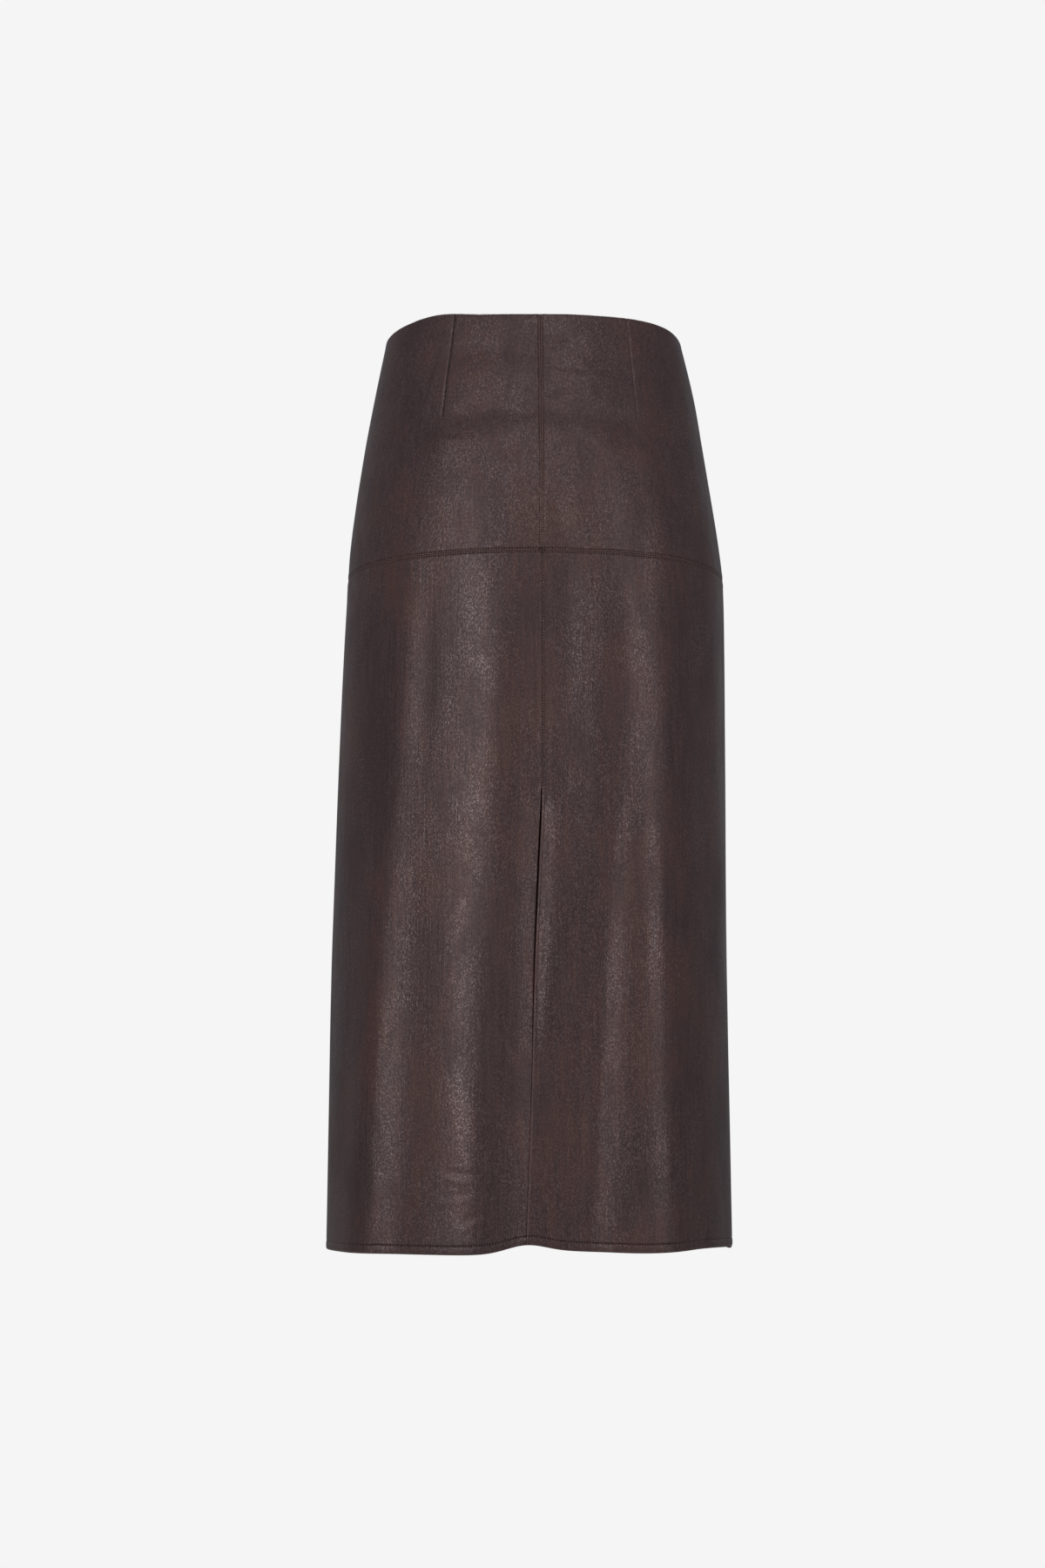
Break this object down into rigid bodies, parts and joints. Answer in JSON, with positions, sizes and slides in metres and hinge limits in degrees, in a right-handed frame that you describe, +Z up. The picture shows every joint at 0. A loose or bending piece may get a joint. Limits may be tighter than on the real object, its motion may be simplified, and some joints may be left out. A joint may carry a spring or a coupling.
{
  "type": "leather midi skirt with a back slit",
  "caption": "Worn, hollow leather midi skirt with darts, a hip seam, a centre back seam that opens into a closed slit, and a concealed side zip.",
  "frame": {"origin": "centre of the waist opening, 10 mm below the top edge, where the wearer's waist holds the skirt", "axes": "+Z up along the wearer, +Y towards the plain front, -Y towards the back with the centre seam and slit, -X the side with the concealed zip"},
  "size_m": [0.3557, 0.2556, 0.8176],
  "materials": {
    "leather": "dark brown crackled grain, semi-gloss",
    "zip_tape": "woven polyester tape, matte",
    "zip_metal": "die-cast zinc, dark brown lacquer"
  },
  "bodies": {
    "skirt": {"back_upper_left": "leather", "back_upper_right": "leather", "back_lower_left": "leather", "back_lower_right": "leather", "front_upper": "leather", "front_lower": "leather", "zip_tape_back": "zip_tape", "zip_tape_front": "zip_tape", "zip_slider": "zip_metal"},
    "pull": {"zip_pull": "zip_metal"}
  },
  "joints": [
    {"name": "zip_pull_swing", "type": "hinge", "parent": "skirt", "child": "pull", "pos_m": [-0.13349, 0.0245, -0.00755], "axis": [0.2878, 0.9577, 0], "range_deg": [0, 160]}
  ]
}
